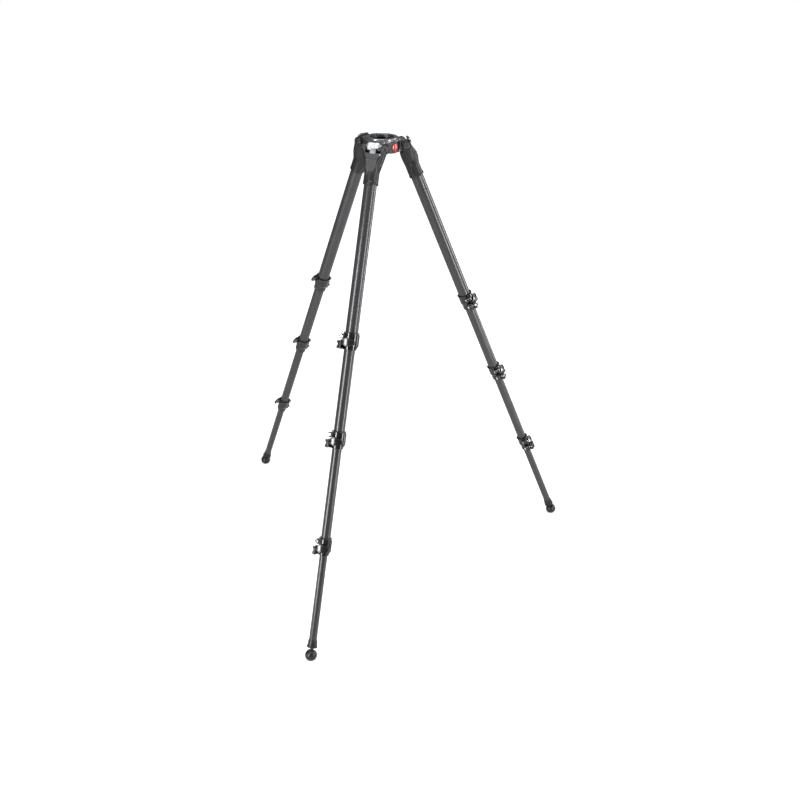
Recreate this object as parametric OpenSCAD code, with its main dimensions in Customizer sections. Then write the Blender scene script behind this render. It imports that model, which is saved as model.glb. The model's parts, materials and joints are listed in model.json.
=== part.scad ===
// Three-legged camera support with single-tube, four-section carbon legs and a bowl crown.
// Origin: centre of the bowl's round land, where its bevelled rim starts. +Z up. The front leg points along -Y. Millimetres.
// Leg pieces are modelled in the leg's own frame: origin on the pivot, the leg runs down -Z,
// +X points outward, Y is the pivot axis. Lock pieces use the same axes with z = 0 at the lock's top.

/* [Bowl] */
// Diameter of the bowl at its rim
bowl_d = 75.2; // [60:0.1:80]
// Straight land under the bowl's rim
bowl_land = 5; // [3:0.5:8]
// Diameter of the tie-down hole through the bowl
tie_hole_d = 57; // [40:1:60]
// Diameter of the larger bowl that the adapter sits in
seat_bowl_d = 100; // [96:1:110]
// Depth of the adapter below the rim
adapter_depth = 30; // [28:1:32]
// Thickness of the adapter's flange
adapter_flange = 4; // [3:0.5:6]
// Height of the adapter's rim above the crown's top
adapter_proud = 4; // [2:0.5:6]

/* [Crown] */
// Height of the crown below the rim
crown_h = 44; // [42:1:50]
// Wall round the larger bowl
crown_wall = 6; // [5:0.5:10]
// Width of the dark groove round the adapter
groove_w = 2; // [1:0.5:3]
// Width of each of the three arms
arm_w = 46; // [40:1:50]
// Distance from the centre to a leg's pivot
pivot_r = 71; // [70:0.5:76]
// Depth of the pivots below the rim
pivot_drop = 23; // [22:0.5:26]
// Radius of an arm's round end about the pivot
arm_end_r = 15; // [13:0.5:16]
// Height of a side panel at its middle
panel_h = 36; // [30:1:37]
// Length of a side panel between the arms
panel_w = 60; // [50:1:62]
// Thickness of a side panel
panel_t = 4; // [3:0.5:5]
// Distance that the panels stand proud
panel_proud = 1.5; // [0.5:0.5:2]
// Diameter of the red disc on one panel
badge_d = 25; // [16:1:26]

/* [Pivots] */
// Diameter of the pivot bolts
pivot_bolt_d = 10; // [8:0.5:12]
// Diameter of the bolts' round heads
pivot_head_d = 20; // [18:0.5:22]
// Wall of the bushes in the arms
pivot_bush_wall = 2.5; // [1.5:0.5:3]
// Thickness of the bushes' flanges
pivot_flange_t = 1.7; // [1:0.1:2.5]
// Radius of the round ears of a leg's casting
ear_r = 15; // [14:0.5:16]
// Thickness of an ear
ear_t = 15; // [12:0.5:18]

/* [Leg casting] */
// Distance from the pivot to the casting's lower edge
casting_len = 112; // [108:1:120]
// Depth to which the upper tube enters the casting
socket_depth = 50; // [40:1:56]
// Wall of the casting round the upper tube
socket_wall = 3.5; // [3:0.5:5]
// Radius of the hollow that the arm turns in
crotch_r = 26.5; // [26:0.5:28]
// Forward reach of the casting's front
casting_front = 27; // [25:0.5:29]
// Height of the front's recessed panel
front_panel_h = 74; // [60:1:78]
// Width of the front's recessed panel at its top
front_panel_w = 40; // [30:1:42]

/* [Angle catch] */
// Length of the catch's bar across the leg
catch_w = 44; // [36:1:46]
// Height of the catch's bar
catch_h = 17; // [12:1:18]
// Thickness of the catch's bar
catch_t = 5; // [4:0.5:6]
// Number of grooves on the bar
catch_grooves = 5; // [3:1:6]
// Distance that the catch slides down to free the leg
catch_travel = 6; // [4:0.5:6]
// Wire of the catch's spring
spring_wire = 1; // [0.8:0.1:1.2]

/* [Leg tubes] */
// Diameter of the upper tube
top_tube_d = 40; // [38:0.5:42]
// Wall of the tubes
tube_wall = 1.5; // [1.2:0.1:1.8]
// Wall of the guide bushes between the tubes
bush_wall = 1; // [0.8:0.1:1.2]
// Length of the upper tube
tube_1_len = 536; // [500:1:560]
// Length of the second tube
tube_2_len = 530; // [500:1:545]
// Length of the third tube
tube_3_len = 545; // [520:1:560]
// Length of the foot tube
tube_4_len = 535; // [500:1:550]
// Length of second tube drawn out from the closed leg
draw_1 = 252.5; // [150:0.5:300]
// Length of third tube drawn out from the closed leg
draw_2 = 281.5; // [150:0.5:320]
// Length of foot tube drawn out from the closed leg
draw_3 = 271.5; // [150:0.5:320]
// Angle of the legs from upright
leg_angle = 23.5; // [20:0.5:30]

/* [Flip locks] */
// Height of a lock's upper sleeve
sleeve_h = 30; // [28:1:34]
// Height of a lock's lower clamp
clamp_h = 25; // [24:1:28]
// Wall of the sleeve
sleeve_wall = 4; // [3:0.5:5]
// Wall of the clamp
clamp_wall = 4; // [3:0.5:5]
// Flare of the sleeve's upper rim
rim_flare = 2; // [1:0.5:3]
// Half thickness of the clamp's two ears together
lug_x = 8; // [6:0.5:9]
// Width of the slits that let the clamps close
slit_w = 2; // [1.5:0.5:3]
// Reach of the clamp's ears beyond the inner tube
clamp_reach = 19; // [17:0.5:20]
// Radius of the sleeve's bolt lug
sleeve_lug_r = 7.5; // [6:0.5:8]
// Diameter of the sleeve and draw bolts
lock_bolt_d = 5; // [4:0.5:6]
// Diameter of the levers' pins
lever_pin_d = 4; // [3:0.5:5]
// Radius of a lever's knuckle
knuckle_r = 7.5; // [7:0.5:8.5]
// Length of a lever's oval thumb pad
pad_len = 46; // [40:1:50]
// Height of a lever's oval thumb pad
pad_h = 25; // [20:1:26]
// Thickness of a lever
lever_t = 5; // [4:0.5:6]
// Depth of the dish in a thumb pad
dish_depth = 2.2; // [1:0.1:3]

/* [Feet] */
// Diameter of the rubber foot balls
ball_d = 38; // [34:1:42]
// Height of the balls' upper half
ball_top_h = 15; // [12:0.5:17]
// Length of bare stem between the end ring and the ball
stem_bare = 11; // [8:0.5:14]
// Diameter of the foot's stem
stem_d = 10; // [8:0.5:12]
// Diameter of the spike at the stem's end
spike_d = 4.8; // [3:0.1:6]
// Height of the end ring on the foot tube
end_ring_h = 23; // [20:1:28]
// Distance that the ball screws up the stem
ball_travel = 10; // [6:0.5:10]

/* [Fits] */
// Radial clearance of running and glued fits
running_gap = 0.05; // [0.03:0.01:0.08]
// Clearance between neighbouring pieces
gap = 0.3; // [0.2:0.05:0.5]

/* [Hidden] */
$fn = 64;
hull_fn = 32;
eps = 0.01;
past = 1;              // how far a cutting tool runs past the face it opens

LEGS = ["front", "right", "left"];
TUBES = ["upper", "second", "third", "foot"];
leg_azimuth = [-90, 30, 150];
badge_azimuth = -28;
leg_stops = [leg_angle, 45, 65];

// Bowl and crown
bowl_r = bowl_d / 2;
tie_r = tie_hole_d / 2;
seat_r = seat_bowl_d / 2;
rim_edge = 0.8;                           // bevel of the bowl's rim, above the land
flange_edge = 2;                          // rounding of the adapter's outer edge
tie_margin = 8;                           // step from the tie-down hole to the crown's own opening
adapter_r = seat_r + flange_edge / 2;
groove_r = adapter_r + groove_w;
crown_top = -adapter_proud;
drum_r = seat_r + crown_wall;
seat_floor = -adapter_depth - gap;        // ledge that carries the adapter
seat_hole_r = tie_r + tie_margin;
ledge_r = sqrt(pow(seat_r, 2) - pow(adapter_depth - adapter_proud, 2));
arm_end = [pivot_r, -pivot_drop];
shelf_w = 1.5;
shelf_r = groove_r + shelf_w;             // where the crown's top starts to fall away

adapter_screw_d = 5;
adapter_screw_r = (seat_hole_r + ledge_r) / 2;
adapter_screw_len = 12;
adapter_screw_grip = 5;                   // crown's metal between the adapter and the screw's head
screw_hole_top = seat_floor - adapter_screw_grip + adapter_screw_len + past;

// Side panels
panel_top = crown_top - 2.5;
panel_arc_top = 60;
panel_arc_bottom = 75;
badge_z = panel_top - panel_h / 2;
badge_sunk = 0.8;
badge_seat = drum_r - badge_sunk;
badge_t = 2.6;
badge_dome = 1.6;                         // height of the disc's domed middle

// Pivots
bolt_r = pivot_bolt_d / 2;
bush_r = bolt_r + running_gap + pivot_bush_wall;
bush_flange_r = bush_r + 4;
ear_in = arm_w / 2 + pivot_flange_t + gap;
ear_out = ear_in + ear_t;
bush_len = 15;
head_r = pivot_head_d / 2;
head_t = 2.5;
head_edge = 0.8;
pivot_hex_d = 8;
pivot_hex_depth = 1.5;
ear_edge = 2.5;

// Leg casting
casting_r = top_tube_d / 2 + socket_wall;
socket_top = casting_len - socket_depth;
neck_s = 76;                              // where the fork has narrowed to the socket
brow_s = 46;                              // where the front stands out furthest
brow_half = 21;
brow_corner = 7;
front_recess = 2.4;
front_recess_top = 30;
side_arch_top = 55;
side_arch_r = 8;
side_arch_depth = 1;
lip_h = 5;                                // height of the rim round the casting's lower edge
lip_t = 0.8;
tube_stop_w = 4;                          // width of the step that the upper tube stops against
boss_screw = [23, 22];                    // place of the small front screw: across, down
boss_screw_r = 2.5;
boss_screw_len = 18;
fold_reach = drum_r - pivot_r + 2;        // nearest that the crown's lower edge comes to the pivot, along X

// Angle catch
catch_in = 17;                            // inner face of the bar, from the pivot
catch_low = -4;                           // lower edge of the bar
catch_stem_w = 18;
catch_stem_t = 2.8;
catch_foot = -25;                         // underside of the pawl
catch_foot_t = 4;
groove_cut_r = 1;                         // radius of a finger groove
groove_cut_out = 0.4;                     // how far a groove's middle lies outside the bar
pawl_x = [2, 6];
pawl_clear = 0.6;                         // all round, between the pawl and the arm or a notch
pawl_top = -(arm_end_r + pawl_clear);
spring_room = 7;                          // height of the closed spring under the pawl
pocket_floor = catch_foot - catch_travel - spring_room;
pocket_top = 10;
notch_depth = 3;
notch_w = pawl_x[1] - pawl_x[0] + 2 * pawl_clear;
spring_turns = 5;
spring_r = 3.2;
spring_at = catch_in - 6;

// Tubes: s is the distance down the leg from the pivot
function tube_d(k) = top_tube_d - k * 2 * (tube_wall + bush_wall);
function tube_r(k) = tube_d(k) / 2;
tube_len = [tube_1_len, tube_2_len, tube_3_len, tube_4_len];
draw = [draw_1, draw_2, draw_3];
closed_gap = 2;
lock_h = sleeve_h + clamp_h;
end_seat = 3;                             // metal below the foot tube in its end ring
upper_tube_end = socket_top + tube_1_len;
function lock_top(k) = k == 0
    ? upper_tube_end - sleeve_h
    : lock_top(k - 1) + lock_h + closed_gap + draw[k - 1];
end_ring_top = lock_top(2) + lock_h + closed_gap + draw[2];
function tube_end(k) = k < 3 ? lock_top(k) + sleeve_h : end_ring_top + end_ring_h - end_seat;
function tube_start(k) = tube_end(k) - tube_len[k];
guide_h = 30;
cap_t = 3;
cap_lip = 2;                              // width of the cap's rim over the tube's end

// Foot
ring_bottom = end_ring_top + end_ring_h;
ball_r = ball_d / 2;
ball_s = ring_bottom + stem_bare + ball_top_h;
stem_r = stem_d / 2;
spike_r = spike_d / 2;
spike_tip_r = 0.4;
spike_taper = 7;
spike_sunk = 5;                           // how far the spike's tip stays inside the ball
spike_clear = 0.15;
stem_in_ball = 11;
tread_flat = 0.5;
ring_wall = [3.5, 1.5];                   // wall of the end ring at its foot and at its top
ring_lip = 4.2;
ring_lip_h = 4;
floor_z = -pivot_drop - ball_s * cos(leg_angle) - ball_r + tread_flat;
foot_r = pivot_r + ball_s * sin(leg_angle);

// Locks
function sleeve_r(k) = tube_r(k) + sleeve_wall;
function clamp_r(k) = tube_r(k + 1) + clamp_wall;
function pin_at(k) = [lug_x + gap + knuckle_r, -(tube_r(k + 1) + clamp_reach - pin_back)];
function pad_face(k) = tube_r(k) + pad_out;
function bolt_y(k) = -(sleeve_r(k) + sleeve_lug_r - 2);
pin_back = 5.5;                           // from the clamp's ears' tips back to the draw bolt
pad_out = 16;                             // from the upper tube out to the thumb pad's face
lever_mid = -lock_h + 14;                 // height of the lever's knuckle
knuckle_h = 24;
eye_h = 8;
pad_mid = -sleeve_h - 1;
pad_curve = 60;
dish_curve = 68;
dish_rim = 2.5;
tip_stretch = 1.17;                       // how far the pad's arcs would run past its round tips
rim_h = 3;
neck_h = 6;
sleeve_lug_z = -14.5;
sleeve_lug_root = 3;                      // how much wider a lug is where it leaves the sleeve
spine_r = 11.5;
spine_out = 3;
spine_foot = 4;                           // where the spine ends, above the clamp's lower edge
spine_taper = 10;
nut_t = 2;
head_wall = 2;                            // from a lock bolt's shank out to its head's rim
bolt_head_t = 3;
lock_hex_d = 4;
lock_hex_depth = 1.5;
eye_wall = 2.5;
elbow_back = 5;                           // from the pad's face in to the end of the lever's link

// ---------- Helpers ----------

// Places children in the frame of one leg.
module at_leg(leg) {
    rotate([0, 0, leg_azimuth[leg]])
    translate([pivot_r, 0, -pivot_drop])
    rotate([0, -leg_angle, 0])
        children();
}

// Places children in the frame of lock k on one leg.
module at_lock(leg, k) {
    at_leg(leg)
    translate([0, 0, -lock_top(k)])
        children();
}

// A solid cylinder between two heights.
module post(r, low, high) {
    translate([0, 0, low])
        cylinder(r = r, h = high - low);
}

// A cylinder along Y between two places.
module cross_post(r, from, to) {
    translate([0, to, 0])
    rotate([90, 0, 0])
        cylinder(r = r, h = to - from);
}

// A cylinder along X between two places.
module bolt_post(r, from, to) {
    translate([from, 0, 0])
    rotate([0, 90, 0])
        cylinder(r = r, h = to - from);
}

// Stands a plate that was drawn flat in (Y, Z), rising along X from the given place.
module along_x(from) {
    translate([from, 0, 0])
    rotate([90, 0, 90])
        children();
}

// Stands a plate that was drawn flat in (X, Z), rising along -Y from the given place.
module along_y(from) {
    translate([0, from, 0])
    rotate([90, 0, 0])
        children();
}

// The four-cornered outline between the outer tangents of two circles.
module tangents2d(p, rp, q, rq) {
    heading = atan2(q.y - p.y, q.x - p.x);
    lean = acos((rp - rq) / norm(q - p));
    up = [cos(heading + lean), sin(heading + lean)];
    down = [cos(heading - lean), sin(heading - lean)];
    polygon([p + rp * up, q + rq * up, q + rq * down, p + rp * down]);
}

// A plate from z = 0 to h: two round ends and the outer tangents between them.
module link(p, rp, q, rq, h) {
    translate(p) cylinder(r = rp, h = h);
    translate(q) cylinder(r = rq, h = h);
    linear_extrude(h)
        tangents2d(p, rp, q, rq);
}

// An eye-shaped plate centred on the origin: two wide arcs that meet a rounder one at each tip.
module eye_plate(length, height, h) {
    point_to_point = length * tip_stretch;
    r = (pow(point_to_point, 2) + pow(height, 2)) / (4 * height);
    intersection() {
        translate([0, r - height / 2, 0]) cylinder(r = r, h = h);
        translate([0, height / 2 - r, 0]) cylinder(r = r, h = h);
        cylinder(d = length, h = h);
    }
}

// A disc from z = 0 to h whose upper edge is rounded.
module rounded_disc(r, h, edge) {
    rotate_extrude() {
        square([r - edge, h]);
        square([r, h - edge]);
        translate([r - edge, h - edge]) circle(r = edge);
    }
}

// ---------- Crown ----------

// The crown seen from above, cut straight down: the drum with its three arms.
module crown_block() {
    post(drum_r, -crown_h - past, past);
    for (a = leg_azimuth)
        rotate([0, 0, a])
        translate([0, -arm_w / 2, -crown_h - past])
            cube([pivot_r + arm_end_r + past, arm_w, crown_h + 2 * past]);
}

// Where a line from a corner touches the round end of an arm, above (side 1) or below (side -1).
function arm_touch(corner, side) =
    let (v = corner - arm_end, lean = acos(arm_end_r / norm(v)), a = atan2(v.y, v.x) - side * lean)
    arm_end + arm_end_r * [cos(a), sin(a)];

// The crown turned about its centre: a flat shelf that falls to the arms' round ends.
module crown_turned() {
    shelf = [shelf_r, crown_top];
    foot = [drum_r + past, -crown_h];
    rotate_extrude()
        translate(arm_end) circle(r = arm_end_r);
    rotate_extrude()
        polygon([[0, crown_top], shelf, arm_touch(shelf, 1), arm_end,
            arm_touch(foot, -1), foot, [0, -crown_h]]);
}

// The bowl, its land and the tie-down hole, as a cut down the centre.
module bowl_cut2d() {
    translate([0, -bowl_land]) square([bowl_r, bowl_land]);
    intersection() {
        translate([0, -bowl_land]) circle(r = bowl_r);
        translate([0, -adapter_depth - past]) square([bowl_r, adapter_depth + past - bowl_land]);
    }
    translate([0, -adapter_depth - past]) square([tie_r, adapter_depth + past]);
    polygon([[0, 0], [bowl_r, 0], [bowl_r + rim_edge + past, rim_edge + past], [0, rim_edge + past]]);
}

// The stretch of crown wall that a side panel fills: arched above and below, square at its ends.
module side_panel_block(inner, outer, grow) {
    reach = pivot_r - drum_r / 2;
    intersection() {
        along_x(drum_r / 2)
        intersection() {
            translate([0, panel_top - panel_arc_top, 0])
                cylinder(r = panel_arc_top + grow, h = reach);
            translate([0, panel_top - panel_h + panel_arc_bottom, 0])
                cylinder(r = panel_arc_bottom + grow, h = reach);
            translate([-panel_w / 2 - grow, -crown_h, 0])
                cube([panel_w + 2 * grow, crown_h, reach]);
        }
        difference() {
            post(outer, -crown_h, 0);
            post(inner, -crown_h - past, past);
        }
    }
}

module crown_casting() {
    color("silver")
    difference() {
        intersection() {
            crown_block();
            crown_turned();
        }
        // seat for the adapter, with the groove round its flange
        intersection() {
            translate([0, 0, crown_top]) sphere(r = seat_r + gap / 2);
            post(seat_r + past, seat_floor, past);
        }
        post(groove_r, crown_top - adapter_flange / 2, past);
        post(adapter_r + gap, -adapter_flange - gap, past);
        post(seat_hole_r, -crown_h - past, past);
        // pivots, the notches for the pawls and the pockets of the side panels
        for (a = leg_azimuth)
            rotate([0, 0, a])
            translate([pivot_r, 0, -pivot_drop]) {
                cross_post(bush_r + running_gap, -arm_w / 2 - past, arm_w / 2 + past);
                for (stop = leg_stops)
                    rotate([0, -stop, 0])
                    translate([pawl_x[0] - pawl_clear, -catch_stem_w / 2 - gap, -arm_end_r - past])
                        cube([notch_w, catch_stem_w + 2 * gap, notch_depth + past]);
            }
        for (a = leg_azimuth)
            rotate([0, 0, a + 60])
                side_panel_block(drum_r + panel_proud - panel_t - gap, pivot_r, gap);
        for (a = leg_azimuth)
            rotate([0, 0, a + 60])
            translate([adapter_screw_r, 0, 0]) {
                post(adapter_screw_d / 2 + gap, -crown_h - past, seat_floor + past);
                post(adapter_screw_d + gap, -crown_h - past, seat_floor - adapter_screw_grip);
            }
    }
}

module side_panels() {
    color("#1c1c1e")
    for (a = leg_azimuth)
        rotate([0, 0, a + 60])
        difference() {
            side_panel_block(drum_r + panel_proud - panel_t, drum_r + panel_proud, 0);
            if (a == leg_azimuth[0])
                rotate([0, 0, badge_azimuth - a - 60])
                translate([0, 0, badge_z])
                    bolt_post(badge_d / 2 + gap, badge_seat, pivot_r);
        }
}

module side_badge() {
    color("#b3262b")
    rotate([0, 0, badge_azimuth])
    translate([badge_seat + eps, 0, badge_z])
    rotate([0, 90, 0]) {
        post(badge_d / 2, 0, badge_t);
        intersection() {
            translate([0, 0, badge_t + badge_dome - badge_d]) sphere(r = badge_d);
            post(badge_d / 2 - badge_sunk, badge_t - past, badge_t + badge_dome + past);
        }
    }
}

module bowl_adapter() {
    color("silver")
    difference() {
        rotate_extrude()
        difference() {
            union() {
                translate([0, -adapter_flange]) {
                    square([adapter_r - flange_edge, adapter_flange + rim_edge]);
                    square([adapter_r, adapter_flange + rim_edge - flange_edge]);
                }
                translate([adapter_r - flange_edge, rim_edge - flange_edge]) circle(r = flange_edge);
                intersection() {
                    translate([0, crown_top]) circle(r = seat_r);
                    translate([0, -adapter_depth]) square([seat_r, adapter_depth]);
                }
            }
            bowl_cut2d();
        }
        for (a = leg_azimuth)
            rotate([0, 0, a + 60])
            translate([adapter_screw_r, 0, 0])
                post(adapter_screw_d / 2 + running_gap, -adapter_depth - past, screw_hole_top);
    }
}

module adapter_screws() {
    head_top = seat_floor - adapter_screw_grip;
    color("dimgray")
    for (a = leg_azimuth)
        rotate([0, 0, a + 60])
        translate([adapter_screw_r, 0, 0])
        difference() {
            union() {
                post(adapter_screw_d / 2, head_top - eps, head_top + adapter_screw_len);
                post(adapter_screw_d - running_gap, head_top - adapter_screw_d, head_top);
            }
            translate([0, 0, head_top - adapter_screw_d - past])
                cylinder(d = adapter_screw_d, h = adapter_screw_d / 2 + past, $fn = 6);
        }
}

// ---------- Pivots ----------

module at_pivots() {
    for (a = leg_azimuth)
        rotate([0, 0, a])
        translate([pivot_r, 0, -pivot_drop])
            children();
}

module pivot_bolts() {
    color("gray")
    at_pivots() {
        cross_post(bolt_r, -ear_out + eps, ear_out - head_t - gap);
        translate([0, -ear_out + head_t, 0])
        rotate([90, 0, 0])
        difference() {
            rounded_disc(head_r, head_t, head_edge);
            translate([0, 0, head_t - pivot_hex_depth])
                cylinder(d = pivot_hex_d, h = pivot_hex_depth + past, $fn = 6);
        }
    }
}

module pivot_nuts() {
    color("gray")
    at_pivots()
    translate([0, ear_out - head_t, 0])
    rotate([-90, 0, 0])
        rounded_disc(head_r, head_t, head_edge);
}

module pivot_bushes() {
    color("#202020")
    at_pivots()
    for (side = [0, 180])
        rotate([0, 0, side])
        difference() {
            union() {
                cross_post(bush_r, arm_w / 2 - bush_len, arm_w / 2 + past);
                cross_post(bush_flange_r, arm_w / 2 + eps, arm_w / 2 + pivot_flange_t);
            }
            cross_post(bolt_r + running_gap, 0, ear_in);
        }
}

// ---------- Leg casting ----------

module fork_body() {
    hull() {
        cross_post(ear_r - 1, -ear_out + ear_edge, ear_out - ear_edge, $fn = 48);
        for (x = [-casting_r + brow_corner, casting_front - brow_corner], y = [1, -1])
            translate([x, y * (brow_half - brow_corner), -brow_s - 4])
                cylinder(r = brow_corner, h = 10, $fn = hull_fn);
        translate([0, 0, -neck_s])
            cylinder(r = casting_r - 0.3, h = 2, $fn = 48);
    }
}

// Tapered recess on the front, with the casting's edges left standing round it.
module front_recess() {
    lean = atan2(casting_front - casting_r, neck_s - brow_s);
    top = brow_s - front_recess_top;
    translate([casting_front - front_recess, 0, -brow_s])
    rotate([0, lean, 0])
    along_x(0)
    linear_extrude(casting_front)
    polygon([
        [-front_panel_w / 2, top],
        [front_panel_w / 2, top],
        [front_panel_w / 4, top - front_panel_h],
        [-front_panel_w / 4, top - front_panel_h]
    ]);
}

module shoulder_casting(leg) {
    color("#26262a")
    at_leg(leg)
    difference() {
        union() {
            fork_body();
            for (side = [0, 180])
                rotate([0, 0, side])
                translate([0, ear_in, 0])
                rotate([-90, 0, 0])
                    rounded_disc(ear_r, ear_t, ear_edge);
            post(casting_r, -casting_len, -neck_s + past);
            post(casting_r + lip_t, -casting_len, -casting_len + lip_h);
        }
        // slot and hollow for the arm and the corner of the crown
        cross_post(crotch_r, -ear_in, ear_in);
        translate([-2 * crotch_r, -ear_in, 0])
            cube([4 * crotch_r, 2 * ear_in, 2 * crotch_r]);
        // room for the crown's lower edge when the leg folds in
        translate([-2 * crotch_r, -ear_in, pivot_drop - crown_h - 2 * gap])
            cube([2 * crotch_r + fold_reach, 2 * ear_in, crown_h]);
        // pivot bolt, its head and its nut
        cross_post(bolt_r + running_gap, -ear_out - past, ear_out + past);
        cross_post(head_r + gap, -ear_out - past, -ear_out + head_t + gap);
        cross_post(head_r + gap, ear_out - head_t - gap, ear_out + past);
        // upper tube
        post(top_tube_d / 2 + running_gap, -casting_len - past, -socket_top);
        post(top_tube_d / 2 - tube_stop_w, -socket_top - past, pocket_floor);
        // catch: its stem, pawl and spring
        translate([0, -catch_stem_w / 2 - gap, pocket_floor])
            cube([catch_in + catch_stem_t + 2 * gap, catch_stem_w + 2 * gap, pocket_top - pocket_floor]);
        front_recess();
        // arches on both sides
        for (side = [0, 180])
            rotate([0, 0, side]) {
                translate([0, 0, -side_arch_top - side_arch_r])
                    cross_post(side_arch_r, casting_r - side_arch_depth, ear_out);
                translate([-side_arch_r, casting_r - side_arch_depth, -casting_len - past])
                    cube([2 * side_arch_r, ear_t, casting_len + past - side_arch_top - side_arch_r]);
            }
        // small screw beside the brow
        translate([0, boss_screw[0], -boss_screw[1]])
            bolt_post(boss_screw_r, casting_front - boss_screw_len, casting_front + past);
    }
}

// ---------- Angle catch ----------

module spring_coil(turns, r, wire, height) {
    steps = 10;
    sides = 6;
    rings = turns * steps;
    pts = [for (i = [0:rings], j = [0:sides - 1])
        let (a = 360 * i / steps, b = 360 * j / sides, w = wire / 2)
        [(r + w * cos(b)) * cos(a), (r + w * cos(b)) * sin(a), height * i / rings + w * sin(b)]];
    walls = [for (i = [0:rings - 1], j = [0:sides - 1])
        let (n = (j + 1) % sides, a = i * sides)
        each [[a + j, a + n, a + sides + n], [a + j, a + sides + n, a + sides + j]]];
    caps = [
        for (j = [1:sides - 2]) [0, j + 1, j],
        for (j = [1:sides - 2]) let (a = rings * sides) [a, a + j, a + j + 1]
    ];
    polyhedron(points = pts, faces = concat(walls, caps));
}

module angle_catch(leg) {
    color("gainsboro")
    at_leg(leg) {
        difference() {
            union() {
                // bar with round ends
                along_x(catch_in)
                    link([-catch_w / 2 + catch_h / 2, catch_low + catch_h / 2], catch_h / 2,
                        [catch_w / 2 - catch_h / 2, catch_low + catch_h / 2], catch_h / 2, catch_t);
                // stem down to the pawl
                translate([catch_in, -catch_stem_w / 2, catch_foot])
                    cube([catch_stem_t, catch_stem_w, catch_low - catch_foot + catch_h / 2]);
                translate([pawl_x[0], -catch_stem_w / 2, catch_foot])
                    cube([catch_in - pawl_x[0] + eps, catch_stem_w, catch_foot_t]);
                translate([pawl_x[0], -catch_stem_w / 2, catch_foot])
                    cube([pawl_x[1] - pawl_x[0], catch_stem_w, pawl_top - catch_foot]);
            }
            // finger grooves across the bar
            for (i = [1:catch_grooves])
                translate([catch_in + catch_t + groove_cut_out, 0, catch_low + i * catch_h / (catch_grooves + 1)])
                    cross_post(groove_cut_r, -catch_w / 2 + catch_h / 3, catch_w / 2 - catch_h / 3);
        }
        translate([spring_at, 0, pocket_floor + catch_travel + spring_wire / 2])
            spring_coil(spring_turns, spring_r, spring_wire,
                catch_foot - pocket_floor - catch_travel - spring_wire - 2 * eps);
    }
}

// ---------- Tubes ----------

// A plain carbon tube with, on the three that slide, a guide bush and a cap on its upper end.
module leg_tube(leg, k) {
    color("#3c3c40")
    at_leg(leg) {
        difference() {
            post(tube_r(k), -tube_end(k), -tube_start(k));
            post(tube_r(k) - tube_wall, -tube_end(k) - past, -tube_start(k) + past);
        }
        if (k > 0)
            translate([0, 0, -tube_start(k)])
                guide_bush(k);
    }
}

// Sleeve that steadies the tube's upper end in the tube above it.
module guide_bush(k) {
    outer = tube_r(k - 1) - tube_wall - running_gap;
    difference() {
        union() {
            post(outer, -guide_h, cap_t);
            post(tube_r(k) - tube_wall - running_gap, -guide_h / 2, cap_t);
        }
        difference() {
            post(tube_r(k) + running_gap / 2, -guide_h - past, 0);
            post(tube_r(k) - tube_wall - running_gap, -guide_h - past, past);
        }
        post(tube_r(k) - tube_wall - cap_lip, -guide_h - past, cap_t + past);
    }
}

// ---------- Flip locks ----------

module lock_collar(leg, k) {
    big = tube_r(k);
    small = tube_r(k + 1);
    color("#17171a")
    at_lock(leg, k)
    difference() {
        union() {
            // sleeve with its flared rim, then the taper to the clamp
            post(sleeve_r(k), -sleeve_h, 0);
            translate([0, 0, -rim_h])
                cylinder(r1 = sleeve_r(k), r2 = sleeve_r(k) + rim_flare, h = rim_h);
            translate([0, 0, -sleeve_h - neck_h])
                cylinder(r1 = clamp_r(k), r2 = sleeve_r(k), h = neck_h);
            post(clamp_r(k), -lock_h, -sleeve_h);
            // thick spine away from the lever
            translate([0, sleeve_r(k) + spine_out - spine_r, 0]) {
                post(spine_r, -lock_h + spine_foot + spine_taper, -2 * rim_h);
                translate([0, 0, -lock_h + spine_foot])
                    cylinder(r1 = spine_r / 2, r2 = spine_r, h = spine_taper);
            }
            // lug for the sleeve's bolt
            along_x(-lug_x)
                link([bolt_y(k), sleeve_lug_z], sleeve_lug_r,
                    [-big / 2, sleeve_lug_z], sleeve_lug_r + sleeve_lug_root, 2 * lug_x);
            // ears of the clamp
            translate([0, 0, -lock_h + eps])
                link([0, -small], lug_x, [0, -small - clamp_reach + lug_x], lug_x, clamp_h);
        }
        post(big + running_gap, -sleeve_h, past);
        post(small + running_gap, -lock_h - past, -sleeve_h + past);
        translate([-slit_w / 2, -2 * big - clamp_reach, -lock_h - past])
            cube([slit_w, 2 * big + clamp_reach, lock_h + 2 * past]);
        translate([0, bolt_y(k), sleeve_lug_z])
            bolt_post(lock_bolt_d / 2 + running_gap, -2 * lug_x, 2 * lug_x);
        translate([0, pin_at(k).y, lever_mid])
            bolt_post(lock_bolt_d / 2 + running_gap, -2 * lug_x, 2 * lug_x);
    }
}

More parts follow.
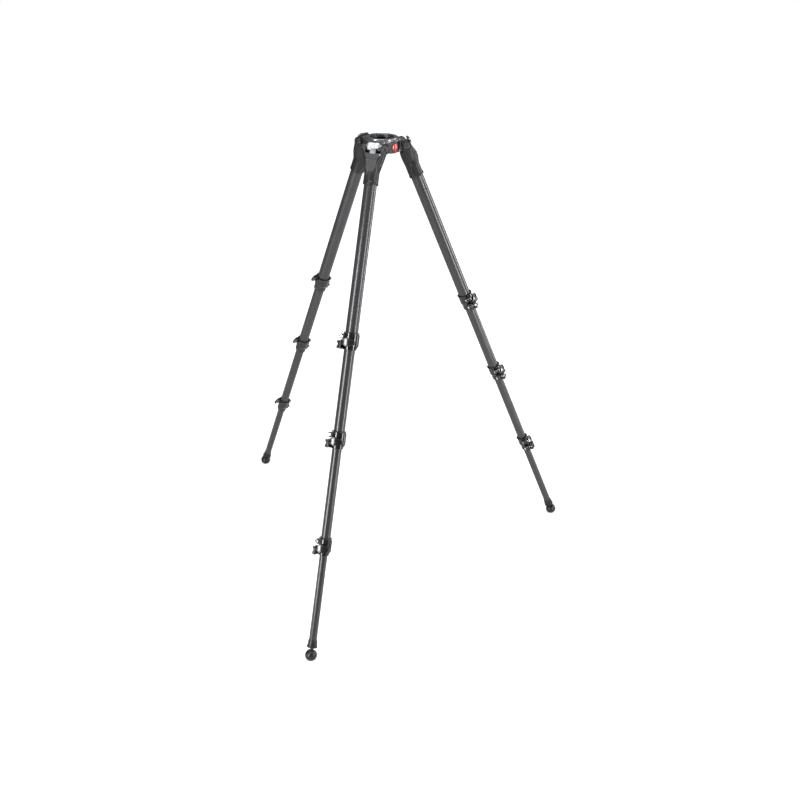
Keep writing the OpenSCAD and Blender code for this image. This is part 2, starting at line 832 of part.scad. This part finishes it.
// Bolt of the sleeve, draw bolt of the clamp and the lever's pin.
module lock_pins(leg, k) {
    pin = pin_at(k);
    shank_r = lock_bolt_d / 2;
    color("lightgray")
    at_lock(leg, k) {
        translate([0, bolt_y(k), sleeve_lug_z])
        difference() {
            union() {
                bolt_post(shank_r, -lug_x - nut_t, lug_x + past);
                bolt_post(shank_r + head_wall, lug_x + eps, lug_x + bolt_head_t);
                bolt_post(shank_r + head_wall, -lug_x - nut_t, -lug_x - eps);
            }
            translate([lug_x + bolt_head_t - lock_hex_depth, 0, 0])
            rotate([0, 90, 0])
                cylinder(d = lock_hex_d, h = lock_hex_depth + past, $fn = 6);
        }
        translate([pin.x, pin.y, lever_mid])
        difference() {
            union() {
                bolt_post(shank_r, -pin.x - lug_x - nut_t, -lever_pin_d / 2 - past);
                bolt_post(shank_r + head_wall, -pin.x - lug_x - 2 * nut_t, -pin.x - lug_x - eps);
                post(lever_pin_d / 2 + eye_wall, -eye_h / 2 + gap, eye_h / 2 - gap);
            }
            post(lever_pin_d / 2 + running_gap, -eye_h, eye_h);
        }
        translate([pin.x, pin.y, lever_mid])
            post(lever_pin_d / 2, -knuckle_h / 2, knuckle_h / 2);
    }
}

module lock_lever(leg, k) {
    pin = pin_at(k);
    face = pad_face(k);
    elbow = [face - elbow_back, -pad_len / 2 + past];
    color("#101012")
    at_lock(leg, k)
    difference() {
        union() {
            // knuckle and link, which slants up from the knuckle to the pad
            intersection() {
                translate([0, 0, -lock_h])
                    link(pin, knuckle_r, elbow, lever_t * 0.7, lock_h);
                along_x(0)
                linear_extrude(face + past)
                polygon([
                    [pin.y - knuckle_r - past, lever_mid - knuckle_h / 2],
                    [pin.y + knuckle_r, lever_mid - knuckle_h / 2],
                    [elbow.y + lever_t, pad_mid - pad_h / 3],
                    [elbow.y + lever_t, pad_mid + pad_h / 3],
                    [pin.y + knuckle_r / 2, lever_mid + knuckle_h / 2],
                    [pin.y - knuckle_r - past, lever_mid + knuckle_h / 2]
                ]);
            }
            // curved oval pad
            intersection() {
                translate([face - pad_curve, 0, 0])
                difference() {
                    post(pad_curve, -lock_h, 0);
                    post(pad_curve - lever_t, -lock_h - past, past);
                }
                along_x(face / 2)
                translate([0, pad_mid, 0])
                    eye_plate(pad_len, pad_h, face);
            }
        }
        // dish of the thumb pad, deepest in the middle
        intersection() {
            along_x(face / 2)
            translate([0, pad_mid, 0])
                eye_plate(pad_len - 2 * dish_rim, pad_h - 2 * dish_rim, face);
            translate([face - dish_depth - dish_curve, 0, 0])
            difference() {
                post(dish_curve + 2 * face, -lock_h, 0);
                post(dish_curve, -lock_h - past, past);
            }
        }
        // pin hole and the gap for the draw bolt's eye
        translate([pin.x, pin.y, lever_mid]) {
            post(lever_pin_d / 2 + running_gap, -knuckle_h, knuckle_h);
            post(knuckle_r + 1, -eye_h / 2, eye_h / 2);
        }
    }
}

// ---------- Feet ----------

// Ring on the foot tube with the stem and spike that the ball screws on.
module end_ring(leg) {
    r = tube_r(3);
    tip = -stem_bare - ball_top_h - ball_r + spike_sunk;
    color("#2a2a2d")
    at_leg(leg)
    translate([0, 0, -ring_bottom])
    difference() {
        union() {
            cylinder(r1 = r + ring_wall[0], r2 = r + ring_wall[1], h = end_ring_h);
            post(r + ring_lip, 0, ring_lip_h);
            post(stem_r, -stem_bare - stem_in_ball, past);
            post(spike_r, tip + spike_taper, -stem_bare);
            translate([0, 0, tip])
                cylinder(r1 = spike_tip_r, r2 = spike_r, h = spike_taper);
        }
        post(r + running_gap, end_seat - running_gap, end_ring_h + past);
    }
}

module foot_ball(leg) {
    color("#0e0e10")
    intersection() {
        at_leg(leg)
        translate([0, 0, -ball_s])
        difference() {
            intersection() {
                sphere(r = ball_r);
                post(ball_r, -ball_r, ball_top_h);
            }
            post(stem_r + running_gap, ball_top_h - stem_in_ball - ball_travel - gap, ball_r);
            post(spike_r + spike_clear, -ball_r - past, ball_r);
        }
        // worn flat where it stands
        rotate([0, 0, leg_azimuth[leg]])
        translate([foot_r - ball_d, -ball_d, floor_z])
            cube([2 * ball_d, 2 * ball_d, 2 * ball_d]);
    }
}

// ---------- Output ----------

crown_casting();
side_panels();
side_badge();
bowl_adapter();
adapter_screws();
pivot_bolts();
pivot_nuts();
pivot_bushes();
for (leg = [0:2]) {
    shoulder_casting(leg);
    angle_catch(leg);
    end_ring(leg);
    foot_ball(leg);
}
for (leg = [0:2], k = [0:3])
    leg_tube(leg, k);
for (leg = [0:2], k = [0:2]) {
    lock_collar(leg, k);
    lock_pins(leg, k);
    lock_lever(leg, k);
}
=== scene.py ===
"""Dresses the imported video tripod: softened castings, woven tubes, turned rings and a plain studio."""

import json
import math

import bmesh
import bpy
from mathutils import Matrix, Vector

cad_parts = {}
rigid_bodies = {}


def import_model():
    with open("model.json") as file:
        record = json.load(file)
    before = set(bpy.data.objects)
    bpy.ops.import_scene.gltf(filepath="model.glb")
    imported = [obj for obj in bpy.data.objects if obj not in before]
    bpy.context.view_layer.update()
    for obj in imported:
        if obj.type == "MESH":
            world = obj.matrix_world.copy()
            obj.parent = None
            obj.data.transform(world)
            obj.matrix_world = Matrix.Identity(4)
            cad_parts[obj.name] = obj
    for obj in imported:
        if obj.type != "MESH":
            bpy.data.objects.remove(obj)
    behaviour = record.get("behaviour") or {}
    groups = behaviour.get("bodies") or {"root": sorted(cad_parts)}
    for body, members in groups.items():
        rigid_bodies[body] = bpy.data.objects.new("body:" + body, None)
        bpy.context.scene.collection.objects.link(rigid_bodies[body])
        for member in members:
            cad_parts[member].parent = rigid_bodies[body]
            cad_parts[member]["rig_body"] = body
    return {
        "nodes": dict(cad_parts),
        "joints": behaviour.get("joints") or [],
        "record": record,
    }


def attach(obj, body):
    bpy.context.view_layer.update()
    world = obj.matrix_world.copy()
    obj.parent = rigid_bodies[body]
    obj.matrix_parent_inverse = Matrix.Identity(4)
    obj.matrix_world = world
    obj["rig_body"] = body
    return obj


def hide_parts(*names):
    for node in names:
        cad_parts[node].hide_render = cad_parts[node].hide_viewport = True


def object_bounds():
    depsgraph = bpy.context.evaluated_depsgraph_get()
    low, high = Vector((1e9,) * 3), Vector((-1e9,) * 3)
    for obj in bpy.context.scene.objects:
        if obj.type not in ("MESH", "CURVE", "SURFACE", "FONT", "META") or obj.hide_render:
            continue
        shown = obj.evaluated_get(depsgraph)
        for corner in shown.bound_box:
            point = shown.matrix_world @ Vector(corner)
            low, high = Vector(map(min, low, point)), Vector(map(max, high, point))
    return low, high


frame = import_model()
cad_low, cad_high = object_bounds()

MM = 0.001
LEGS = ("front", "right", "left")
TUBES = ("upper", "second", "third", "foot")
JOINTS = {joint["name"]: joint for joint in frame["joints"]}
NODES = frame["nodes"]


# ---------- Camera and studio ----------

CAMERA_AZIMUTH = 15.08
CAMERA_ELEVATION = 25.9
CAMERA_ROLL = 1.44
CAMERA_PLACE = (0.8650, -2.8441, 0.6100)
LENS = 42.39
SHIFT = (-0.0080, -0.0286)
CLIP_END = 50


def make_camera():
    """The camera fitted to the photo, with its slight roll and off-centre lens."""
    azimuth, elevation, roll = (math.radians(a) for a in (CAMERA_AZIMUTH, CAMERA_ELEVATION, CAMERA_ROLL))
    back = Vector((math.cos(elevation) * math.sin(azimuth), -math.cos(elevation) * math.cos(azimuth),
                   math.sin(elevation)))
    level = Vector((math.cos(azimuth), math.sin(azimuth), 0))
    above = back.cross(level)
    right = level * math.cos(roll) + above * math.sin(roll)
    up = above * math.cos(roll) - level * math.sin(roll)
    data = bpy.data.cameras.new("camera")
    data.lens = LENS
    data.shift_x, data.shift_y = SHIFT
    data.clip_end = CLIP_END
    camera = bpy.data.objects.new("camera", data)
    camera.matrix_world = Matrix.Translation(CAMERA_PLACE) @ Matrix((right, up, back)).transposed().to_4x4()
    bpy.context.scene.collection.objects.link(camera)
    bpy.context.scene.camera = camera


# Lamps: name, azimuth in degrees from the front, distance, height above the middle, width, height, watts
LAMPS = [
    ("key_light", -28, 3.2, 0.7, 0.7, 2.4, 95),
    ("side_light", 78, 2.8, 0.3, 0.5, 2.4, 45),
    ("rim_light", 125, 3.0, 0.6, 0.5, 2.4, 40),
    ("top_light", 0, 0.6, 2.4, 1.6, 1.6, 34),
]
WORLD_LEVEL = 0.16
FLOOR_GLOW = 0.60
FLOOR_FADE = (0.8, 2.4)
FLOOR_HALF = 12


def area_light(name, azimuth, distance, height, width, tall, power):
    """A soft rectangular lamp that faces the middle of the object."""
    middle = (cad_low + cad_high) / 2
    turn = math.radians(azimuth)
    place = middle + Vector((distance * math.sin(turn), -distance * math.cos(turn), height))
    data = bpy.data.lights.new(name, "AREA")
    data.shape = "RECTANGLE"
    data.size, data.size_y = width, tall
    data.energy = power
    light = bpy.data.objects.new(name, data)
    light.location = place
    light.rotation_mode = "QUATERNION"
    light.rotation_quaternion = (middle - place).to_track_quat("-Z", "Y")
    bpy.context.scene.collection.objects.link(light)


def make_world():
    """Dim surroundings, which the camera itself sees as white."""
    world = bpy.data.worlds.new("studio")
    world.use_nodes = True
    tree = world.node_tree
    path = tree.nodes.new("ShaderNodeLightPath")
    level = tree.nodes.new("ShaderNodeMapRange")
    level.inputs["To Min"].default_value = WORLD_LEVEL
    tree.links.new(path.outputs["Is Camera Ray"], level.inputs["Value"])
    background = tree.nodes["Background"]
    background.inputs["Color"].default_value = (1, 1, 1, 1)
    tree.links.new(level.outputs[0], background.inputs["Strength"])
    bpy.context.scene.world = world


def make_studio():
    """The lamps, the surroundings and the floor at the height of the feet."""
    for lamp in LAMPS:
        area_light(*lamp)
    make_world()
    corners = [(x * FLOOR_HALF, y * FLOOR_HALF, 0) for x, y in ((-1, -1), (1, -1), (1, 1), (-1, 1))]
    mesh = bpy.data.meshes.new("floor")
    mesh.from_pydata(corners, [], [(0, 1, 2, 3)])
    mesh.materials.append(floor_material())
    floor = new_object("floor", mesh)
    floor.location.z = cad_low.z


# ---------- Node helpers ----------


class Shader:
    """A material's node tree, with short calls that add nodes and join them."""

    def __init__(self, name):
        self.material = bpy.data.materials.new(name)
        self.material.use_nodes = True
        self.tree = self.material.node_tree
        self.tree.nodes.clear()

    def add(self, kind, inputs=None, **settings):
        node = self.tree.nodes.new("ShaderNode" + kind)
        for key, value in settings.items():
            setattr(node, key, value)
        for key, value in (inputs or {}).items():
            if isinstance(value, bpy.types.NodeSocket):
                self.tree.links.new(value, node.inputs[key])
            else:
                node.inputs[key].default_value = value
        return node

    def math(self, operation, a, b=0.0):
        return self.add("Math", {0: a, 1: b}, operation=operation).outputs[0]

    def ramp(self, value, low, high, from_low=0.0, from_high=1.0):
        inputs = {"Value": value, "From Min": from_low, "From Max": from_high, "To Min": low, "To Max": high}
        return self.add("MapRange", inputs).outputs[0]

    def mix(self, factor, a, b):
        node = self.add("Mix", data_type="RGBA")
        for key, value in ((0, factor), (6, a), (7, b)):
            if isinstance(value, bpy.types.NodeSocket):
                self.tree.links.new(value, node.inputs[key])
            else:
                node.inputs[key].default_value = value
        return node.outputs[2]

    def place(self):
        return self.add("TexCoord").outputs["Object"]

    def noise(self, scale, detail=3.0, roughness=0.5):
        inputs = {"Vector": self.place(), "Scale": scale, "Detail": detail, "Roughness": roughness}
        return self.add("TexNoise", inputs).outputs["Fac"]

    def bump(self, height, depth, strength=1.0):
        inputs = {"Height": height, "Distance": depth, "Strength": strength}
        return self.add("Bump", inputs).outputs["Normal"]

    def finish(self, inputs):
        shader = self.add("BsdfPrincipled", inputs)
        self.add("OutputMaterial", {"Surface": shader.outputs[0]})
        return self.material


def rgb(*values):
    return (*values, 1.0)


def floor_material():
    """Pale floor, lit by the lamps and lifted to plain white for the camera."""
    s = Shader("floor")
    pale = s.mix(s.noise(3.0), rgb(0.86, 0.86, 0.86), rgb(0.90, 0.90, 0.90))
    lit = s.add("BsdfDiffuse", {"Color": pale})
    far = s.add("VectorMath", {0: s.place()}, operation="LENGTH").outputs["Value"]
    glow = s.add("Emission", {"Color": rgb(1, 1, 1), "Strength": s.ramp(far, FLOOR_GLOW, 1.0, *FLOOR_FADE)})
    seen = s.add("AddShader", {0: lit.outputs[0], 1: glow.outputs[0]})
    camera_ray = s.add("LightPath").outputs["Is Camera Ray"]
    mixed = s.add("MixShader", {0: camera_ray, 1: lit.outputs[0], 2: seen.outputs[0]})
    s.add("OutputMaterial", {"Surface": mixed.outputs[0]})
    return s.material


# ---------- Materials ----------


def cast_metal(name, dark, light, roughness, metallic, grain):
    """Painted or bare casting: fine sandy grain, soft cloudiness and a painted highlight that makes the
    edges a little brighter.
    """
    s = Shader(name)
    fine = s.noise(2600.0, 2.0)
    cloud = s.noise(28.0, 4.0)
    # Painted highlight: edges found by pointiness are mixed up to halfway towards a brighter colour.
    edge_highlight = s.ramp(s.add("NewGeometry").outputs["Pointiness"], 0.0, 1.0, 0.50, 0.62)
    colour = s.mix(s.ramp(cloud, 0.0, 1.0, 0.3, 0.7), dark, light)
    edge_highlight_colour = tuple(min(1.0, c * 1.35 + 0.02) for c in light[:3])
    colour = s.mix(s.math("MULTIPLY", edge_highlight, 0.5), colour, rgb(*edge_highlight_colour))
    rough = s.ramp(s.math("ADD", fine, cloud), roughness - 0.05, roughness + 0.07, 0.7, 1.3)
    return s.finish({
        "Base Color": colour, "Metallic": metallic, "Roughness": rough,
        "Normal": s.bump(fine, grain),
    })


def moulded(name, dark, light, roughness, grain, coat=0.0):
    """Moulded plastic or rubber: faint grain, uneven gloss and a few rubbed patches."""
    s = Shader(name)
    fine = s.noise(1800.0, 3.0)
    patch = s.noise(45.0, 5.0, 0.6)
    colour = s.mix(s.ramp(patch, 0.0, 1.0, 0.35, 0.7), dark, light)
    rough = s.ramp(patch, roughness - 0.04, roughness + 0.08, 0.3, 0.7)
    return s.finish({
        "Base Color": colour, "Roughness": rough, "Coat Weight": coat, "Coat Roughness": 0.06,
        "Normal": s.bump(fine, grain),
    })


BOWL_RADIUS = 37.4 * MM
# Radians of the tool marks' wave in a metre of radius
TOOL_MARKS = 9000.0


def turned_metal(name, dark, light, roughness, bowl):
    """Turned ring: fine circular tool marks round the local Z axis, and everything inside the bowl's radius
    coloured near black.
    """
    s = Shader(name)
    axes = s.add("SeparateXYZ", {0: s.place()})
    radius = s.math("SQRT", s.math("ADD", s.math("MULTIPLY", axes.outputs[0], axes.outputs[0]),
                                   s.math("MULTIPLY", axes.outputs[1], axes.outputs[1])))
    lines = s.math("SINE", s.math("MULTIPLY", radius, TOOL_MARKS))
    cloud = s.noise(30.0, 4.0)
    wear = s.math("ADD", s.math("MULTIPLY", lines, 0.15), cloud)
    colour = s.mix(s.ramp(wear, 0.0, 1.0, 0.3, 0.75), dark, light)
    colour = s.mix(s.math("LESS_THAN", radius, bowl), colour, rgb(0.012, 0.012, 0.013))
    return s.finish({
        "Base Color": colour, "Metallic": 0.95,
        "Roughness": s.ramp(wear, roughness - 0.06, roughness + 0.08, 0.3, 0.8),
        "Normal": s.bump(lines, 0.00001),
    })


def steel(name, dark, light, roughness):
    """Plated or blasted steel with faint stains."""
    s = Shader(name)
    fine = s.noise(3500.0, 2.0)
    stain = s.noise(160.0, 4.0)
    return s.finish({
        "Base Color": s.mix(stain, dark, light), "Metallic": 1.0,
        "Roughness": s.ramp(stain, roughness - 0.05, roughness + 0.1, 0.3, 0.7),
        "Normal": s.bump(fine, 0.00002),
    })


# Weave: a cell's side, cells in a repeat, cells of it on top (1 or 2), and fibres in a cell
WEAVE_CELL = 2.4 * MM
TWILL_REPEAT = 4
TWILL_OVER = 1.5
FIBRES = 5


def carbon_weave(name):
    """Twill-woven carbon under clear lacquer. The lathed tubes' own map counts weave cells."""
    s = Shader(name)
    cells = s.add("SeparateXYZ", {0: s.add("UVMap", uv_map="cells").outputs[0]})
    across, along = cells.outputs[0], cells.outputs[1]
    step = s.math("ADD", s.math("FLOOR", across), s.math("FLOOR", along))
    over = s.math("LESS_THAN", s.math("FLOORED_MODULO", step, TWILL_REPEAT), TWILL_OVER)
    fibre_a = s.math("SINE", s.math("MULTIPLY", across, 2 * math.pi * FIBRES))
    fibre_b = s.math("SINE", s.math("MULTIPLY", along, 2 * math.pi * FIBRES))
    fibre = s.math("ADD", s.math("MULTIPLY", over, fibre_a),
                   s.math("MULTIPLY", s.math("SUBTRACT", 1.0, over), fibre_b))
    crown_a = s.math("PINGPONG", across, 0.5)
    crown_b = s.math("PINGPONG", along, 0.5)
    height = s.math("ADD", s.math("MULTIPLY", over, crown_a),
                    s.math("MULTIPLY", s.math("SUBTRACT", 1.0, over), crown_b))
    cloud = s.noise(14.0, 4.0)
    tone = s.math("ADD", s.math("MULTIPLY", over, 0.5), s.math("MULTIPLY", cloud, 0.5))
    tone = s.math("ADD", tone, s.math("MULTIPLY", fibre, 0.06))
    return s.finish({
        "Base Color": s.mix(tone, rgb(0.018, 0.018, 0.020), rgb(0.060, 0.061, 0.065)),
        "Metallic": 0.3, "Roughness": s.ramp(tone, 0.30, 0.42),
        "Coat Weight": 0.6, "Coat Roughness": 0.18,
        "Normal": s.bump(height, 0.00006, 0.5),
    })


# cast_metal: dark, light, roughness, metallic, grain depth. moulded: dark, light, roughness, grain, coat.
MATERIALS = {
    "bare_casting": cast_metal("bare_casting", rgb(0.26, 0.27, 0.28), rgb(0.36, 0.37, 0.38),
                               0.34, 0.9, 0.00003),
    "turned_ring": turned_metal("turned_ring", rgb(0.30, 0.31, 0.32), rgb(0.42, 0.43, 0.44),
                                0.32, BOWL_RADIUS),
    "black_casting": cast_metal("black_casting", rgb(0.012, 0.012, 0.013), rgb(0.022, 0.022, 0.024),
                                0.36, 0.2, 0.00003),
    "gloss_black": moulded("gloss_black", rgb(0.005, 0.005, 0.006), rgb(0.010, 0.010, 0.011),
                           0.16, 0.00001, 0.5),
    "panel_black": moulded("panel_black", rgb(0.012, 0.013, 0.014), rgb(0.022, 0.023, 0.025),
                           0.42, 0.00004),
    "red_disc": moulded("red_disc", rgb(0.42, 0.025, 0.022), rgb(0.58, 0.045, 0.040),
                        0.14, 0.00001, 0.8),
    "carbon": carbon_weave("carbon"),
    "silver_catch": cast_metal("silver_catch", rgb(0.34, 0.35, 0.36), rgb(0.48, 0.49, 0.50),
                               0.28, 0.9, 0.00002),
    "bolt_steel": steel("bolt_steel", rgb(0.10, 0.10, 0.105), rgb(0.16, 0.16, 0.165), 0.36),
    "screw_steel": steel("screw_steel", rgb(0.60, 0.60, 0.61), rgb(0.78, 0.78, 0.79), 0.20),
    "black_nylon": moulded("black_nylon", rgb(0.012, 0.012, 0.012), rgb(0.024, 0.024, 0.024),
                           0.55, 0.00004),
    "dark_ring": cast_metal("dark_ring", rgb(0.020, 0.020, 0.022), rgb(0.040, 0.040, 0.043),
                            0.30, 0.6, 0.00001),
    "rubber": moulded("rubber", rgb(0.008, 0.008, 0.009), rgb(0.016, 0.016, 0.017), 0.32, 0.00008),
}
SLOT_OF = {row["node"]: row["material_slot"] for row in frame["record"]["subparts"]}


# ---------- Mesh helpers ----------


def finish_piece(piece, node):
    """Gives a piece the material and the slot of a node."""
    slot = SLOT_OF[node]
    piece.data.materials.clear()
    piece.data.materials.append(MATERIALS[slot])


def dress(piece, node):
    """Puts a new piece in a node's place: its finish and its body."""
    finish_piece(piece, node)
    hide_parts(node)
    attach(piece, NODES[node]["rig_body"])


def new_object(name, mesh):
    piece = bpy.data.objects.new(name, mesh)
    bpy.context.scene.collection.objects.link(piece)
    return piece


def apply_modifiers(piece):
    """Replaces a piece's mesh by the mesh that its modifiers give."""
    graph = bpy.context.evaluated_depsgraph_get()
    mesh = bpy.data.meshes.new_from_object(piece.evaluated_get(graph))
    old = piece.data
    piece.modifiers.clear()
    piece.data = mesh
    bpy.data.meshes.remove(old)
    return mesh


WELD = 0.005 * MM
SMOOTHING = 0.5
FACES_KEPT = 0.35


def softened(node, voxel, passes, added=None):
    """A cast or moulded copy of a CAD node: remeshed finely, its edges rounded by smoothing."""
    build = bmesh.new()
    build.from_mesh(NODES[node].data)
    bmesh.ops.remove_doubles(build, verts=build.verts, dist=WELD)
    if added is not None:
        build.from_mesh(added)
    mesh = bpy.data.meshes.new(node + "_soft")
    build.to_mesh(mesh)
    build.free()
    piece = new_object(node + "_soft", mesh)
    remesh = piece.modifiers.new("remesh", "REMESH")
    remesh.mode = "VOXEL"
    remesh.voxel_size = voxel * MM
    smooth = piece.modifiers.new("smooth", "SMOOTH")
    smooth.factor = SMOOTHING
    smooth.iterations = passes
    lean = piece.modifiers.new("lean", "DECIMATE")
    lean.ratio = FACES_KEPT
    apply_modifiers(piece).shade_smooth()
    return piece


# Distances down the leg from its pivot, and radii
SOCKET_TOP, SOCKET_FOOT = 74 * MM, 111.8 * MM
SOCKET_INNER, SOCKET_OUTER = 20.2 * MM, 22.4 * MM


def socket_wall():
    """The wall of the front leg's socket, kept whole behind the casting's front recess."""
    outline = [(SOCKET_INNER, -SOCKET_FOOT), (SOCKET_OUTER, -SOCKET_FOOT),
               (SOCKET_OUTER, -SOCKET_TOP), (SOCKET_INNER, -SOCKET_TOP)]
    sleeve = lathe("socket_wall", outline, leg_matrix("front"))
    mesh = sleeve.data
    mesh.transform(leg_matrix("front"))
    bpy.data.objects.remove(sleeve)
    return mesh


def turned_copy(piece, name, turns):
    """The same mesh, turned about the crown's axis by so many thirds of a turn."""
    twin = new_object(name, piece.data)
    twin.matrix_world = Matrix.Rotation(turns * 2 * math.pi / 3, 4, "Z") @ piece.matrix_world
    return twin


# Soft parts: name, voxel size in mm, smoothing passes
SOFT_PARTS = [
    ("shoulder_casting", 0.7, 5),
    ("angle_catch", 0.4, 3),
    *[(f"{tube}_collar", 0.45, 4) for tube in TUBES[:3]],
    *[(f"{tube}_lever", 0.4, 4) for tube in TUBES[:3]],
]
SOFT_CROWN = [("crown_casting", 0.7, 5), ("side_panels", 0.5, 3)]


def dress_soft_parts():
    """Replaces castings, collars, levers and panels, each leg's from the front leg's mesh."""
    for part, voxel, passes in SOFT_PARTS:
        added = socket_wall() if part == "shoulder_casting" else None
        first = softened(f"{part}_front", voxel, passes, added)
        first.name = f"{part}_front_piece"
        for turns, leg in ((1, "right"), (2, "left")):
            dress(turned_copy(first, f"{part}_{leg}_piece", turns), f"{part}_{leg}")
        dress(first, f"{part}_front")
    for node, voxel, passes in SOFT_CROWN:
        piece = softened(node, voxel, passes)
        piece.name = node + "_piece"
        dress(piece, node)


def leg_matrix(leg):
    """The leg's frame: origin on the pivot, X outward, Z up the leg."""
    hinge = JOINTS[f"leg_spread_{leg}"]
    across = -Vector(hinge["axis"])
    up_leg = -Vector(JOINTS[f"angle_catch_{leg}"]["axis"])
    outward = across.cross(up_leg)
    turn = Matrix((outward, across, up_leg)).transposed().to_4x4()
    return Matrix.Translation(hinge["pos_m"]) @ turn


SEGMENTS = 96
CREASE = math.radians(32)


def lathe(name, profile, matrix):
    """Turns a closed outline of (radius, height) points, in metres, about the local Z axis."""
    mesh = bpy.data.meshes.new(name)
    build = bmesh.new()
    cells = build.loops.layers.uv.new("cells")
    rings = []
    for radius, height in profile:
        rings.append([build.verts.new((radius * math.cos(a), radius * math.sin(a), height))
                      for a in (2 * math.pi * i / SEGMENTS for i in range(SEGMENTS))])
    steps = list(zip(rings, profile))
    for (low, (r0, z0)), (high, (r1, z1)) in zip(steps, steps[1:] + steps[:1]):
        repeats = round(2 * math.pi * max(r0, r1) / WEAVE_CELL / TWILL_REPEAT)
        count = TWILL_REPEAT * max(1, repeats)
        for i in range(SEGMENTS):
            j = (i + 1) % SEGMENTS
            face = build.faces.new((low[i], low[j], high[j], high[i]))
            face.smooth = True
            for loop, (u, v) in zip(face.loops, ((i, z0), (i + 1, z0), (i + 1, z1), (i, z1))):
                loop[cells].uv = (u * count / SEGMENTS, v / WEAVE_CELL)
    bmesh.ops.recalc_face_normals(build, faces=build.faces)
    for edge in build.edges:
        edge.smooth = edge.calc_face_angle(0) < CREASE
    build.to_mesh(mesh)
    build.free()
    piece = new_object(name, mesh)
    piece.matrix_world = matrix
    return piece


TUBE_WALL = 1.5 * MM
EDGE = 0.4 * MM
BUSH_LENGTH = 33 * MM


def tube_piece(node, leg):
    """A woven tube lathed in its leg's frame, with the guide bush on its upper end where it has one."""
    inverse = leg_matrix(leg).inverted()
    points = [inverse @ v.co for v in NODES[node].data.vertices]
    foot, top = min(p.z for p in points), max(p.z for p in points)
    widest = max(math.hypot(p.x, p.y) for p in points)
    radius = max(math.hypot(p.x, p.y) for p in points if p.z < foot + TUBE_WALL)
    inner = radius - TUBE_WALL
    outline = [(inner, foot), (radius - EDGE, foot), (radius, foot + EDGE)]
    if widest > radius + EDGE:
        outline += [(radius, top - BUSH_LENGTH), (widest, top - BUSH_LENGTH), (widest, top)]
    else:
        outline.append((radius, top))
    outline.append((inner, top))
    return lathe(f"{node}_piece", outline, leg_matrix(leg))


def make_tubes():
    for leg in LEGS:
        for tube in TUBES:
            node = f"{tube}_tube_{leg}"
            dress(tube_piece(node, leg), node)


def dress_cad_nodes():
    """Gives every CAD node that stays in view the finish of its slot."""
    for node, piece in NODES.items():
        if not piece.hide_render:
            finish_piece(piece, node)


# ---------- Everything together ----------

bpy.context.scene.view_settings.view_transform = "Standard"
make_camera()
make_studio()
dress_soft_parts()
make_tubes()
dress_cad_nodes()
